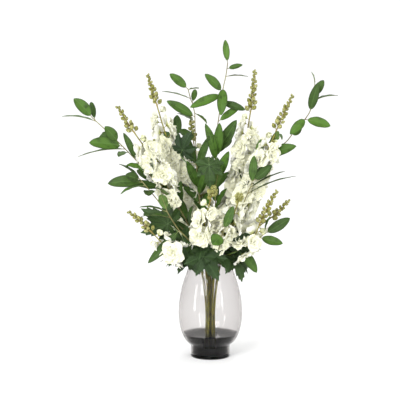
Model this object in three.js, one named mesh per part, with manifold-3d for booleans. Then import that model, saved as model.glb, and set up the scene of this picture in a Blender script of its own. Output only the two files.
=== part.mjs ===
// Delphinium arrangement in a clear glass vase, set in faux water.
// Millimetres, +Z up. The origin is on the vase's axis, at the underside of its foot.
// +X is to the right of the arrangement seen from its front, and -Y is towards the front.
import * as THREE from "three";
import { mergeVertices } from "three/addons/utils/BufferGeometryUtils.js";
import Module from "manifold-3d";

const wasm = await Module();
wasm.setup();

// ---- Driving dimensions -------------------------------------------------------------------

const GAP = 0.35; // clearance left between neighbouring pieces
const SMOOTHING = 0.12; // slivers thinner than this are closed up after a cut
const GOLDEN_ANGLE = THREE.MathUtils.degToRad(137.5); // turn from one floret or bud to the next

// Vase: a barrel-shaped bowl on a short straight foot.
const GLASS_WALL = 3;
const FOOT_RADIUS = 49;
const FOOT_HEIGHT = 29;
const FOOT_FLOOR = 7;
const VASE_HEIGHT = 238;
const VASE_SEGMENTS = 28;
const BOWL_OUTLINE = [ // radius, height, from the foot up to the mouth
  [49, 29], [63, 42], [73, 62], [79, 88], [80.5, 114], [78, 146], [71, 180], [60.5, 211], [51, VASE_HEIGHT],
];

// Faux water: clear set resin in the foot and the bottom of the bowl.
const WATER_LEVEL = 60;

// The stems stand side by side in the vase, in two rings about one hexagonal bundle.
const STEM_FOOT = 24;
const BUNDLE_WAIST = 118;
const MOUTH_LEVEL = 226;
const INNER_RING = 5.2;
const OUTER_RING = 10.4;
const MOUTH_SPREAD = 2.3; // how far the rings open at the mouth, as a multiple

const STALK_RADIUS = 2.2;
const SHOOT_RADIUS = 1.7;
const BRANCH_RADIUS = 1.7;
const STEM_STEP = 27; // length of one straight step of a stem
const STEM_SIDES = 6;
const BRANCH_SIDES = 5;

// Florets, from the top of a stalk down, in loose whorls.
const WHORL_PITCH = 26;
const WHORL_RADIUS = 34;
const WAIST_RADIUS = 19;
const WHORL_SIDES = 6;
const WHORL_TURN = 0.3; // turn from one whorl to the next, in radians
const YOUNG_LENGTH = 70; // stretch below the buds where florets are still opening

// Buds on the spike above the florets.
const BUD_PITCH = 9;
const BUD_REACH = 17; // longest bud with its stalk
const BUD_RADIUS = 4.2;
const SPIKE_RADIUS = 1.5;

// Leaves.
const LEAF_THICKNESS = 1.6;
const PALM_THICKNESS = 2.4;
const PETIOLE_RADIUS = 1.3;

// ---- Layout -------------------------------------------------------------------------------

// A main stem stands in the bundle at a ring and an angle in degrees, and then follows its points.
// bloom is how much of the stem's upper end carries florets. The last point, spike, is the bud tip.
const STALKS = [
  { name: "stalk_far_left", ring: OUTER_RING, angle: 180, bloom: 190,
    route: [[-52, -12, 326], [-98, -22, 412], [-152, -32, 512], [-184, -38, 560]],
    spike: [-226, -45, 628] },
  { name: "stalk_left", ring: INNER_RING, angle: 120, bloom: 290,
    route: [[-34, 30, 328], [-64, 45, 412], [-88, 55, 484], [-116, 60, 566], [-134, 61, 626]],
    spike: [-152, 60, 710] },
  { name: "stalk_back", ring: OUTER_RING, angle: 90, bloom: 190,
    route: [[-14, 70, 324], [-27, 118, 420], [-38, 145, 500], [-42, 152, 530]],
    spike: [-54, 162, 606] },
  { name: "stalk_right", ring: INNER_RING, angle: 0, bloom: 270,
    route: [[37, 16, 330], [64, 24, 415], [82, 28, 490], [94, 29, 572], [100, 29, 610]],
    spike: [114, 25, 718] },
  { name: "stalk_far_right", ring: OUTER_RING, angle: 0, bloom: 215,
    route: [[60, -6, 340], [100, -16, 424], [136, -25, 508], [160, -30, 566]],
    spike: [194, -36, 658] },
  { name: "stalk_front_centre", ring: OUTER_RING, angle: 240, bloom: 150,
    route: [[-20, -72, 306], [-14, -104, 352], [-2, -134, 404]],
    spike: [6, -194, 440] },
  { name: "stalk_front_right", ring: OUTER_RING, angle: 300, bloom: 135,
    route: [[28, -78, 306], [48, -108, 352], [62, -136, 396]],
    spike: [62, -200, 420] },
  { name: "stalk_back_left", ring: OUTER_RING, angle: 120, bloom: 190,
    route: [[-62, 82, 318], [-98, 130, 390], [-122, 165, 452]],
    spike: [-150, 205, 540] },
  { name: "stalk_back_right", ring: OUTER_RING, angle: 60, bloom: 190,
    route: [[64, 82, 318], [102, 128, 388], [128, 160, 448]],
    spike: [158, 198, 536] },
];

// A side shoot leaves its parent stem at the height "from" and follows its own points.
const SHOOTS = [
  { name: "shoot_lower_left", parent: "stalk_front_centre", from: 236, bloom: 105,
    route: [[-58, -64, 262], [-102, -80, 284], [-140, -90, 322]],
    spike: [-199, -100, 376] },
  { name: "shoot_lower_right", parent: "stalk_front_right", from: 242, bloom: 95,
    route: [[56, -76, 274], [94, -92, 296], [116, -100, 342]],
    spike: [152, -110, 430] },
  { name: "shoot_right", parent: "stalk_far_right", from: 262, bloom: 70,
    route: [[68, -34, 296], [104, -46, 324], [142, -54, 352]],
    spike: [190, -62, 403] },
];

// Eucalyptus-like branches. Each leaf: the height it leaves the branch at, its tip, its width, and how
// it is turned: front shows its face to the front, flat lies level, and side stands on edge.
const BRANCHES = [
  { name: "branch_left", ring: OUTER_RING, angle: 210,
    route: [[-62, -24, 350], [-126, -28, 432], [-164, -30, 475],
      [-215, -32, 529], [-254, -32, 567], [-291, -30, 601]],
    leaves: [
      [600, [-334, -34, 647], 25, "front"],
      [594, [-297, 8, 640], 14, "front"], [592, [-364, -26, 606], 16, "flat"],
      [556, [-279, 12, 548], 24, "front"],
      [540, [-257, -44, 579], 24, "front"], [530, [-296, -48, 540], 29, "front"],
      [524, [-328, -10, 507], 15, "flat"],
      [516, [-222, -78, 508], 22, "flat"], [495, [-213, -36, 563], 15, "front"],
      [470, [-150, 30, 500], 20, "front"], [440, [-185, 18, 470], 20, "front"],
    ] },
  { name: "branch_top_left", ring: INNER_RING, angle: 180,
    route: [[-23, 12, 350], [-34, 20, 466], [-38, 24, 566],
      [-41, 25, 624], [-49, 25, 645], [-56, 24, 672]],
    leaves: [
      [671, [-101, 22, 709], 20, "front"],
      [648, [-121, 30, 667], 12, "flat"], [670, [-29, 0, 673], 13, "flat"],
      [602, [-108, 18, 642], 22, "front"],
      [590, [-83, 50, 612], 14, "flat"], [612, [-8, 52, 586], 14, "flat"],
      [636, [-38, 50, 672], 13, "front"],
      [480, [-62, 10, 560], 19, "front"], [470, [-4, 12, 552], 18, "front"],
      [424, [-58, -14, 492], 20, "front"], [404, [-6, -26, 474], 20, "front"],
      [545, [-78, 62, 570], 18, "front"],
    ] },
  { name: "branch_top", ring: INNER_RING, angle: 60,
    route: [[12, 18, 350], [13, 24, 466], [17, 27, 569],
      [22, 28, 606], [33, 28, 679], [39, 28, 706], [43, 26, 736]],
    leaves: [
      [735, [37, 28, 793], 15, "front"],
      [722, [79, 14, 731], 12, "front"], [703, [95, 44, 704], 12, "flat"],
      [664, [-13, 16, 708], 20, "front"],
      [658, [-50, 6, 626], 21, "front"], [676, [26, -4, 607], 23, "front"],
      [640, [86, 10, 620], 18, "front"],
      [590, [74, 20, 627], 16, "front"], [508, [64, -4, 594], 27, "front"],
      [500, [22, -16, 586], 23, "front"],
      [490, [-12, -14, 584], 20, "front"], [515, [55, 52, 545], 18, "front"],
      [446, [44, -22, 516], 22, "front"], [420, [24, -40, 482], 20, "front"],
    ] },
  { name: "branch_right", ring: OUTER_RING, angle: 30,
    route: [[52, 16, 350], [90, 12, 436], [131, 6, 502], [186, 0, 538], [196, -2, 551], [236, -6, 599],
      [246, -8, 616], [257, -12, 682]],
    leaves: [
      [681, [251, 4, 713], 9, "side"],
      [650, [278, -14, 692], 19, "front"], [614, [262, -30, 684], 21, "front"],
      [640, [315, 0, 657], 14, "flat"],
      [596, [296, -14, 580], 23, "front"], [600, [196, -24, 560], 21, "front"],
      [588, [208, 22, 556], 18, "front"],
      [502, [210, -26, 531], 26, "front"], [512, [166, -44, 569], 17, "front"],
      [490, [124, -34, 548], 18, "front"], [520, [180, 50, 560], 20, "front"],
    ] },
  { name: "branch_back", ring: OUTER_RING, angle: 150,
    route: [[-46, 62, 330], [-70, 122, 424], [-80, 162, 500], [-84, 186, 548]],
    leaves: [
      [547, [-88, 212, 606], 22, "front"],
      [536, [-138, 198, 560], 22, "front"], [528, [-36, 214, 556], 22, "front"],
      [490, [-132, 150, 520], 22, "flat"],
      [478, [-34, 196, 500], 20, "front"], [438, [-124, 156, 452], 22, "flat"],
    ] },
];

// Leafy side shoots, from their parent stem.
const SPRIGS = [
  { name: "sprig_left", parent: "branch_left", from: 300,
    route: [[-86, -44, 344], [-130, -56, 400], [-162, -62, 440], [-172, -64, 452]],
    leaves: [
      [444, [-250, -66, 442], 27, "front"],
      [450, [-224, -40, 489], 12, "flat"], [436, [-218, -88, 420], 18, "flat"],
      [425, [-150, -96, 414], 24, "front"], [451, [-205, -90, 463], 22, "front"],
    ] },
  { name: "sprig_right", parent: "stalk_far_right", from: 320,
    route: [[74, -38, 372], [90, -48, 414], [104, -54, 448]],
    leaves: [
      [447, [148, -66, 486], 20, "front"],
      [440, [106, -50, 508], 19, "front"], [430, [180, -50, 472], 12, "flat"],
      [415, [205, -66, 462], 12, "flat"], [446, [132, -30, 510], 20, "front"],
    ] },
  { name: "sprig_lower_left", parent: "stalk_front_centre", from: 262,
    route: [[-64, -82, 316], [-90, -96, 350], [-106, -102, 378]],
    leaves: [
      [376, [-170, -112, 390], 12, "flat"],
      [362, [-168, -96, 366], 17, "flat"], [330, [-152, -92, 250], 21, "front"],
      [377, [-120, -130, 420], 20, "front"],
    ] },
  { name: "sprig_front", parent: "stalk_front_right", from: 256,
    route: [[20, -104, 290], [26, -140, 322], [30, -148, 340]],
    leaves: [
      [338, [52, -154, 394], 19, "front"],
      [324, [4, -164, 304], 30, "front"],
    ] },
  { name: "sprig_lower_right", parent: "stalk_front_right", from: 254,
    route: [[70, -70, 280], [104, -84, 302], [134, -92, 324]],
    leaves: [
      [322, [190, -96, 360], 23, "front"],
      [312, [172, -108, 300], 20, "front"], [282, [112, -86, 226], 22, "front"],
      [321, [140, -126, 366], 16, "side"],
    ] },
];

// Jagged delphinium leaves: the middle of the blade, its tip, which way its face looks, and the point
// that its stalk comes from.
const PALM_LEAVES = [
  { name: "palm_leaf_front", hub: [-18, -92, 266], tip: [20, -108, 210],
    face: [0.1, -1, 0.2], from: [-12, -46, 262] },
  { name: "palm_leaf_front_left", hub: [-66, -66, 300], tip: [-44, -92, 226],
    face: [-0.3, -1, 0.3], from: [-24, -44, 262] },
  { name: "palm_leaf_left", hub: [-104, -66, 342], tip: [-162, -78, 384],
    face: [-0.2, -1, 0.4], from: [-52, -40, 296] },
  { name: "palm_leaf_front_right", hub: [72, -90, 290], tip: [106, -100, 334],
    face: [0.3, -1, 0.3], from: [27, -56, 262] },
  { name: "palm_leaf_lower_right", hub: [58, -62, 258], tip: [84, -76, 204],
    face: [0.5, -1, 0.1], from: [24, -38, 250] },
  { name: "palm_leaf_centre", hub: [-4, -64, 486], tip: [-2, -80, 430],
    face: [0, -0.7, 0.8], from: [4, -10, 452] },
  { name: "palm_leaf_upper_left", hub: [-70, -8, 520], tip: [-52, -30, 564],
    face: [-0.2, -1, 0.3], from: [-42, 6, 470] },
  { name: "palm_leaf_side_left", hub: [-62, 20, 262], tip: [-118, 26, 232],
    face: [-0.6, -0.1, 1], from: [-24, 14, 244] },
  { name: "palm_leaf_side_right", hub: [70, 22, 270], tip: [124, 30, 246],
    face: [0.6, 0, 1], from: [26, 16, 246] },
  { name: "palm_leaf_back", hub: [4, 92, 262], tip: [-8, 120, 202],
    face: [0, 1, 0.4], from: [0, 48, 262] },
  { name: "palm_leaf_back_left", hub: [-60, 112, 300], tip: [-104, 148, 270],
    face: [-0.4, 1, 0.6], from: [-34, 56, 290] },
  { name: "palm_leaf_back_right", hub: [58, 112, 300], tip: [104, 146, 268],
    face: [0.4, 1, 0.6], from: [34, 56, 290] },
];

// ---- Materials ----------------------------------------------------------------------------

const glass = new THREE.MeshStandardMaterial({ color: "#dfe3e4", roughness: 0.05, metalness: 0 });
const resin = new THREE.MeshStandardMaterial({ color: "#3a3838", roughness: 0.08, metalness: 0 });
const stemGreen = new THREE.MeshStandardMaterial({ color: "#7f8136", roughness: 0.6, metalness: 0 });
const budGreen = new THREE.MeshStandardMaterial({ color: "#9a9a45", roughness: 0.65, metalness: 0 });
const petalWhite = new THREE.MeshStandardMaterial({ color: "#f4f2e8", roughness: 0.8, metalness: 0 });
const leafGreen = new THREE.MeshStandardMaterial({ color: "#44752f", roughness: 0.5, metalness: 0 });
const palmGreen = new THREE.MeshStandardMaterial({ color: "#34513c", roughness: 0.55, metalness: 0 });

// ---- Solids -------------------------------------------------------------------------------

const vector = (point) => new THREE.Vector3(...point);

function solidOf(geometry) {
  const bare = geometry.index ? geometry.toNonIndexed() : geometry.clone();
  bare.deleteAttribute("normal");
  bare.deleteAttribute("uv");
  const merged = mergeVertices(bare, 1e-4);
  return new wasm.Manifold(new wasm.Mesh({
    numProp: 3,
    vertProperties: new Float32Array(merged.attributes.position.array),
    triVerts: new Uint32Array(merged.index.array),
  }));
}

function geometryOf(solid) {
  const mesh = solid.getMesh();
  const geometry = new THREE.BufferGeometry();
  geometry.setAttribute("position", new THREE.BufferAttribute(new Float32Array(mesh.vertProperties), 3));
  geometry.setIndex(new THREE.BufferAttribute(new Uint32Array(mesh.triVerts), 1));
  return geometry;
}

function solidFromTriangles(points, faces) {
  const numbers = points.flatMap((point) => [point.x, point.y, point.z]);
  const geometry = new THREE.BufferGeometry();
  geometry.setAttribute("position", new THREE.Float32BufferAttribute(numbers, 3));
  geometry.setIndex(faces.flat());
  return solidOf(geometry);
}

function largestBody(solid) {
  const bodies = solid.decompose();
  return bodies.reduce((best, body) => (body.volume() > best.volume() ? body : best));
}

// The pieces made so far, each a little grown, so that a later piece can be cut clear of them.
let occupied = null;

function occupy(grown) {
  occupied = occupied ? occupied.add(grown) : grown;
}

function clearOfNeighbours(solid) {
  return largestBody(occupied ? solid.subtract(occupied) : solid).simplify(SMOOTHING);
}

const arrangement = new THREE.Group();
arrangement.name = "delphinium_in_vase";

function addPiece(name, geometry, material) {
  const mesh = new THREE.Mesh(geometry, material);
  mesh.name = name;
  arrangement.add(mesh);
}

// ---- Stems --------------------------------------------------------------------------------

function tubeGeometry(curve, radius, sides) {
  const outline = new THREE.Shape();
  for (let side = 0; side < sides; side += 1) {
    const angle = (2 * Math.PI * side) / sides;
    const point = [radius * Math.cos(angle), radius * Math.sin(angle)];
    if (side === 0) {
      outline.moveTo(...point);
    } else {
      outline.lineTo(...point);
    }
  }
  outline.closePath();
  const steps = Math.max(2, Math.round(curve.getLength() / STEM_STEP));
  return new THREE.ExtrudeGeometry(outline, { steps, extrudePath: curve });
}

// The same stem, fatter and longer by the gap, used only to keep other pieces clear of it.
function grownTube(curve, radius, sides) {
  const points = curve.getSpacedPoints(Math.max(4, Math.round(curve.getLength() / STEM_STEP)));
  const start = points[0].clone().addScaledVector(curve.getTangentAt(0), -GAP);
  const end = points.at(-1).clone().addScaledVector(curve.getTangentAt(1), GAP);
  const longer = new THREE.CatmullRomCurve3([start, ...points.slice(1, -1), end]);
  return solidOf(tubeGeometry(longer, (radius + GAP) * 1.12, sides));
}

function bundledCurve(stem) {
  const angle = THREE.MathUtils.degToRad(stem.angle);
  const direction = new THREE.Vector3(Math.cos(angle), Math.sin(angle), 0);
  const inBundle = (spread, height) => direction.clone().multiplyScalar(stem.ring * spread).setZ(height);
  return new THREE.CatmullRomCurve3([
    inBundle(1, STEM_FOOT), inBundle(1, BUNDLE_WAIST * 0.6), inBundle(1, BUNDLE_WAIST),
    inBundle(MOUTH_SPREAD, MOUTH_LEVEL), ...stem.route.map(vector),
  ], false, "centripetal");
}

// The point of a rising curve at a given height, and the direction there.
function atHeight(curve, height) {
  let low = 0;
  let high = 1;
  for (let i = 0; i < 24; i += 1) {
    const middle = (low + high) / 2;
    if (curve.getPointAt(middle).z < height) {
      low = middle;
    } else {
      high = middle;
    }
  }
  return { point: curve.getPointAt(low), tangent: curve.getTangentAt(low) };
}

// A side stem starts just clear of its parent's skin.
function shootCurve(shoot, parentCurve, radius) {
  const { point, tangent } = atHeight(parentCurve, shoot.from);
  const away = vector(shoot.route[0]).sub(point).normalize();
  const slant = Math.sin(away.angleTo(tangent));
  const start = point.clone().addScaledVector(away, (STALK_RADIUS + radius + 2 * GAP) / slant + radius);
  return new THREE.CatmullRomCurve3([start, ...shoot.route.map(vector)], false, "centripetal");
}

// ---- Buds and florets ---------------------------------------------------------------------

// Two directions square to an axis, so that turns about the axis start from the same place.
function squareTo(axis) {
  const seed = Math.abs(axis.y) < 0.9 ? new THREE.Vector3(0, 1, 0) : new THREE.Vector3(1, 0, 0);
  const side = new THREE.Vector3().crossVectors(axis, seed).normalize();
  return [side, new THREE.Vector3().crossVectors(axis, side).normalize()];
}

function outward(axis, turn) {
  const [side, other] = squareTo(axis);
  return side.multiplyScalar(Math.cos(turn)).addScaledVector(other, Math.sin(turn));
}

// A body that is pointed at both ends, round its axis, with its widest ring at a place along it.
function spindle(base, tip, widest, radius, sides) {
  const axis = tip.clone().sub(base);
  const length = axis.length();
  axis.normalize();
  const ring = Array.from({ length: sides }, (_, i) => (
    base.clone().addScaledVector(axis, widest * length)
      .addScaledVector(outward(axis, (2 * Math.PI * i) / sides), radius)
  ));
  const points = [base, tip, ...ring];
  const faces = ring.flatMap((_, i) => {
    const here = 2 + i;
    const next = 2 + ((i + 1) % sides);
    return [[0, next, here], [1, here, next]];
  });
  return solidFromTriangles(points, faces);
}

function spikeCurve(stemCurve, tip) {
  const end = stemCurve.getPointAt(1);
  const tangent = stemCurve.getTangentAt(1);
  const start = end.clone().addScaledVector(tangent, GAP * 2);
  const bend = start.clone().addScaledVector(tangent, start.distanceTo(tip) / 2);
  return new THREE.QuadraticBezierCurve3(start, bend, tip);
}

function budSpike(curve, grow) {
  const length = curve.getLength();
  const count = Math.floor((length - 4) / BUD_PITCH);
  let solid = solidOf(tubeGeometry(curve, SPIKE_RADIUS + grow, 4));
  for (let i = 0; i < count; i += 1) {
    const along = (i + 0.9) / (count + 0.5);
    const axis = curve.getTangentAt(along);
    const size = THREE.MathUtils.lerp(1, 0.5, along);
    const base = curve.getPointAt(along);
    const lean = outward(axis, i * GOLDEN_ANGLE).addScaledVector(axis, 0.75).normalize();
    const tip = base.clone().addScaledVector(lean, BUD_REACH * size + grow);
    solid = solid.add(spindle(base, tip, 0.68, BUD_RADIUS * size + grow, 3));
  }
  return solid;
}

// The florets of one stalk, touching each other round the stem: a closed skin over their backs and
// rims that swells at each whorl and draws in between two whorls.
function floretCluster(curve, bloom, grow) {
  const length = curve.getLength();
  const whorls = Math.round(bloom / WHORL_PITCH);
  const rings = [];
  for (let i = 0; i < 2 * whorls; i += 1) {
    const below = 4 + (i + 0.5) * (bloom / (2 * whorls));
    const along = 1 - below / length;
    const size = THREE.MathUtils.clamp(0.45 + (0.55 * below) / YOUNG_LENGTH, 0.45, 1);
    const radius = size * (i % 2 ? WHORL_RADIUS : WAIST_RADIUS) + grow;
    const turn = Math.floor(i / 2) * WHORL_TURN;
    const axis = curve.getTangentAt(along);
    rings.push(Array.from({ length: WHORL_SIDES }, (_, k) => (
      curve.getPointAt(along).addScaledVector(outward(axis, turn + (2 * Math.PI * k) / WHORL_SIDES), radius)
    )));
  }
  const top = curve.getPointAt(1 - (2 - grow) / length);
  const bottom = curve.getPointAt(1 - (bloom + 8 + grow) / length);
  const points = [top, bottom, ...rings.flat()];
  const faces = [];
  const corner = (ring, k) => 2 + ring * WHORL_SIDES + (k % WHORL_SIDES);
  for (let k = 0; k < WHORL_SIDES; k += 1) {
    faces.push([0, corner(0, k), corner(0, k + 1)]);
    faces.push([1, corner(rings.length - 1, k + 1), corner(rings.length - 1, k)]);
    for (let ring = 0; ring + 1 < rings.length; ring += 1) {
      faces.push([corner(ring, k), corner(ring + 1, k), corner(ring + 1, k + 1)]);
      faces.push([corner(ring, k), corner(ring + 1, k + 1), corner(ring, k + 1)]);
    }
  }
  return solidFromTriangles(points, faces);
}

// ---- Leaves -------------------------------------------------------------------------------

const FACES = {
  front: new THREE.Vector3(0, -1, 0.35),
  flat: new THREE.Vector3(0, -0.12, 1),
  side: new THREE.Vector3(1, -0.15, 0.1),
};

// A long leaf: a flat lozenge from its base to its tip, widest half way, with a raised middle.
function lozenge(base, tip, width, face, grow) {
  const along = tip.clone().sub(base).normalize();
  const side = new THREE.Vector3().crossVectors(along, face).normalize();
  const normal = new THREE.Vector3().crossVectors(side, along);
  const middle = base.clone().lerp(tip, 0.5);
  const half = width / 2 + grow;
  const thick = LEAF_THICKNESS / 2 + grow;
  const points = [
    base.clone().addScaledVector(along, -grow), tip.clone().addScaledVector(along, grow),
    middle.clone().addScaledVector(side, half), middle.clone().addScaledVector(side, -half),
    middle.clone().addScaledVector(normal, thick), middle.clone().addScaledVector(normal, -thick),
  ];
  const [b, t, left, right, top, under] = [0, 1, 2, 3, 4, 5];
  return solidFromTriangles(points, [
    [b, left, top], [left, t, top], [t, right, top], [right, b, top],
    [left, b, under], [t, left, under], [right, t, under], [b, right, under],
  ]);
}

function leafyBranch(curve, leaves, grow) {
  let solid = solidOf(tubeGeometry(curve, BRANCH_RADIUS + grow, BRANCH_SIDES));
  leaves.forEach(([height, tip, width, turn]) => {
    const base = atHeight(curve, height).point;
    solid = solid.add(lozenge(base, vector(tip), width, FACES[turn], grow));
  });
  return solid;
}

// A palmate leaf's outline, from its hub: seven pointed lobes with a tooth on each side of each.
const LOBE_ANGLES = [-150, -104, -52, 0, 52, 104, 150];
const LOBE_LENGTHS = [0.5, 0.72, 0.9, 1, 0.9, 0.72, 0.5];
const TOOTH_REACH = 0.74;
const TOOTH_TURN = 14;
const NOTCH_REACH = 0.42;
const ENVELOPE_BACK = 0.45; // reach of the plain outline behind the hub

function palmOutline() {
  const outline = [];
  const put = (degrees, reach) => {
    const angle = THREE.MathUtils.degToRad(degrees);
    outline.push([Math.cos(angle) * reach, Math.sin(angle) * reach]);
  };
  LOBE_ANGLES.forEach((angle, lobe) => {
    const reach = LOBE_LENGTHS[lobe];
    put(angle - TOOTH_TURN, reach * TOOTH_REACH);
    put(angle, reach);
    put(angle + TOOTH_TURN, reach * TOOTH_REACH);
    const next = LOBE_ANGLES[lobe + 1];
    if (next !== undefined) {
      put((angle + next) / 2, NOTCH_REACH * Math.min(reach, LOBE_LENGTHS[lobe + 1]) / 0.72);
    }
  });
  put(180, 0.12);
  return outline;
}

// The plain outline round a palmate leaf's lobes, used only to keep florets clear of it.
function palmEnvelope() {
  const reachOf = [...LOBE_LENGTHS, ENVELOPE_BACK];
  return [...LOBE_ANGLES, 180].map((degrees, i) => {
    const angle = THREE.MathUtils.degToRad(degrees);
    return [Math.cos(angle) * reachOf[i], Math.sin(angle) * reachOf[i]];
  });
}

function palmLeaf(leaf, grow) {
  const hub = vector(leaf.hub);
  const tip = vector(leaf.tip);
  const length = hub.distanceTo(tip);
  const along = tip.clone().sub(hub).normalize();
  const side = new THREE.Vector3().crossVectors(vector(leaf.face), along).normalize();
  const normal = new THREE.Vector3().crossVectors(along, side);
  const thick = PALM_THICKNESS / 2 + 3 * grow;
  const stretch = 1 + (6 * grow) / length;
  const outline = grow > 0 ? palmEnvelope() : palmOutline();
  const rim = outline.map(([x, y]) => (
    hub.clone().addScaledVector(along, x * length * stretch).addScaledVector(side, y * length * stretch)
  ));
  const points = [
    hub.clone().addScaledVector(normal, thick), hub.clone().addScaledVector(normal, -thick), ...rim,
  ];
  const faces = rim.flatMap((_, i) => {
    const here = 2 + i;
    const next = 2 + ((i + 1) % rim.length);
    return [[0, here, next], [1, next, here]];
  });
  const notch = hub.clone().addScaledVector(along, -0.06 * length).addScaledVector(normal, -thick * 0.2);
  const from = vector(leaf.from);
  const bend = notch.clone().addScaledVector(along, -0.3 * notch.distanceTo(from));
  const stalk = new THREE.QuadraticBezierCurve3(from, bend, notch);
  return solidFromTriangles(points, faces).add(solidOf(tubeGeometry(stalk, PETIOLE_RADIUS + grow, 4)));
}

// ---- Vase and water -----------------------------------------------------------------------

const outlinePoints = BOWL_OUTLINE.map(([radius, height]) => new THREE.Vector2(radius, height));
const bowlSide = new THREE.SplineCurve(outlinePoints).getPoints(8);

// The bowl's inner side, a wall's thickness in from its outer side.
const innerSide = bowlSide.map((point, i) => {
  const ahead = bowlSide[Math.min(i + 1, bowlSide.length - 1)];
  const behind = bowlSide[Math.max(i - 1, 0)];
  const slope = ahead.clone().sub(behind).normalize();
  return new THREE.Vector2(point.x - slope.y * GLASS_WALL, point.y + slope.x * GLASS_WALL);
});

function turned(profile) {
  const standing = new THREE.LatheGeometry(profile, VASE_SEGMENTS);
  return standing.rotateX(Math.PI / 2);
}

function vaseSolid() {
  const bevel = 1.5;
  const mouth = bowlSide.at(-1);
  const profile = [
    new THREE.Vector2(0, 0), new THREE.Vector2(FOOT_RADIUS - bevel, 0), new THREE.Vector2(FOOT_RADIUS, bevel),
    ...bowlSide,
    new THREE.Vector2(mouth.x - GLASS_WALL / 2, mouth.y + 1.2),
    ...innerSide.slice(1).reverse(),
    new THREE.Vector2(FOOT_RADIUS - GLASS_WALL, FOOT_HEIGHT),
    new THREE.Vector2(FOOT_RADIUS - GLASS_WALL, FOOT_FLOOR),
    new THREE.Vector2(0, FOOT_FLOOR),
  ];
  return solidOf(turned(profile));
}

function waterSolid() {
  const wet = innerSide.slice(1).filter((point) => point.y < WATER_LEVEL - 3);
  const dry = innerSide.find((point) => point.y >= WATER_LEVEL - 3);
  const last = wet.at(-1);
  const edge = last.clone().lerp(dry, (WATER_LEVEL - last.y) / (dry.y - last.y));
  const radius = FOOT_RADIUS - GLASS_WALL - GAP;
  const profile = [
    new THREE.Vector2(0, FOOT_FLOOR + GAP), new THREE.Vector2(radius, FOOT_FLOOR + GAP),
    new THREE.Vector2(radius, FOOT_HEIGHT + GAP),
    ...wet.map((point) => new THREE.Vector2(point.x - GAP * 1.4, point.y + GAP)),
    new THREE.Vector2(edge.x - GAP * 1.4, WATER_LEVEL), new THREE.Vector2(0, WATER_LEVEL),
  ];
  return solidOf(turned(profile));
}

// ---- The arrangement ----------------------------------------------------------------------

const curves = {};
[...STALKS, ...BRANCHES].forEach((stem) => {
  curves[stem.name] = bundledCurve(stem);
});
SHOOTS.forEach((shoot) => {
  curves[shoot.name] = shootCurve(shoot, curves[shoot.parent], SHOOT_RADIUS);
});
SPRIGS.forEach((sprig) => {
  curves[sprig.name] = shootCurve(sprig, curves[sprig.parent], BRANCH_RADIUS);
});

addPiece("glass_vase", geometryOf(vaseSolid()), glass);
occupy(vaseSolid());

const flowering = [
  ...STALKS.map((stalk) => ({ ...stalk, radius: STALK_RADIUS })),
  ...SHOOTS.map((shoot) => ({ ...shoot, radius: SHOOT_RADIUS })),
];
flowering.forEach(({ name, radius }) => {
  addPiece(`${name}_stem`, tubeGeometry(curves[name], radius, STEM_SIDES), stemGreen);
  occupy(grownTube(curves[name], radius, STEM_SIDES));
});

flowering.forEach(({ name, spike }) => {
  const curve = spikeCurve(curves[name], vector(spike));
  addPiece(`${name}_buds`, geometryOf(clearOfNeighbours(budSpike(curve, 0))), budGreen);
  occupy(budSpike(curve, GAP));
});

[...BRANCHES, ...SPRIGS].forEach(({ name, leaves }) => {
  addPiece(name, geometryOf(clearOfNeighbours(leafyBranch(curves[name], leaves, 0))), leafGreen);
  occupy(leafyBranch(curves[name], leaves, GAP));
});

PALM_LEAVES.forEach((leaf) => {
  addPiece(leaf.name, geometryOf(clearOfNeighbours(palmLeaf(leaf, 0))), palmGreen);
  occupy(palmLeaf(leaf, GAP));
});

flowering.forEach(({ name, bloom }) => {
  const cluster = floretCluster(curves[name], bloom, 0);
  addPiece(`${name}_florets`, geometryOf(clearOfNeighbours(cluster)), petalWhite);
  occupy(floretCluster(curves[name], bloom, GAP));
});

addPiece("faux_water", geometryOf(clearOfNeighbours(waterSolid())), resin);

export default arrangement;
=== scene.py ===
"""An arrangement of artificial delphiniums and long leaves in a clear glass vase of faux water.

Every stem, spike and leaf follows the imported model: its CAD node gives where it runs and how large it is.
Lengths are in millimetres here, and turn into metres where a mesh is made.
"""
import math
import random
from functools import partial

import bmesh
import bpy
import numpy as np
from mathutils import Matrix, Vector


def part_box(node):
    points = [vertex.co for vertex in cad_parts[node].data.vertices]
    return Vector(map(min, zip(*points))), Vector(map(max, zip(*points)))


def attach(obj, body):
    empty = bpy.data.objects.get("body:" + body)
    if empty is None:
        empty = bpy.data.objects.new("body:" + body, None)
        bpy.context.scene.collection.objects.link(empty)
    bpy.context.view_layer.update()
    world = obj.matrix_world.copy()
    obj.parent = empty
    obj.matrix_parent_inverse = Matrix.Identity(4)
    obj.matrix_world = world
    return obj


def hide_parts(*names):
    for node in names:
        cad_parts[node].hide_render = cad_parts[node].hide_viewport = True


bl_info = {
    "name": "Delphinium arrangement", "version": (1, 0, 0), "blender": (4, 5, 0),
    "location": "View3D > Sidebar > Delphinium",
    "description": "Dresses the packed model of a delphinium arrangement in its glass vase",
    "category": "Object",
}

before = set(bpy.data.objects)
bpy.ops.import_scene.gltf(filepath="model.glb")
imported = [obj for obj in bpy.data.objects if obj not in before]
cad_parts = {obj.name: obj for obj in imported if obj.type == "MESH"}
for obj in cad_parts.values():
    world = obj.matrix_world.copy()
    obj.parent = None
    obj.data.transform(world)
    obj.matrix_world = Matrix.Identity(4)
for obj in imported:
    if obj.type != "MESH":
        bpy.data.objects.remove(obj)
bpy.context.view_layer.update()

MM = 0.001
GOLDEN_ANGLE = math.radians(137.5)
BLADE_THICKNESS = 1.6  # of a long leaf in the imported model, through its middle
PALM_THICKNESS = 2.4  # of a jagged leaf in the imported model, through its hub

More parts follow.
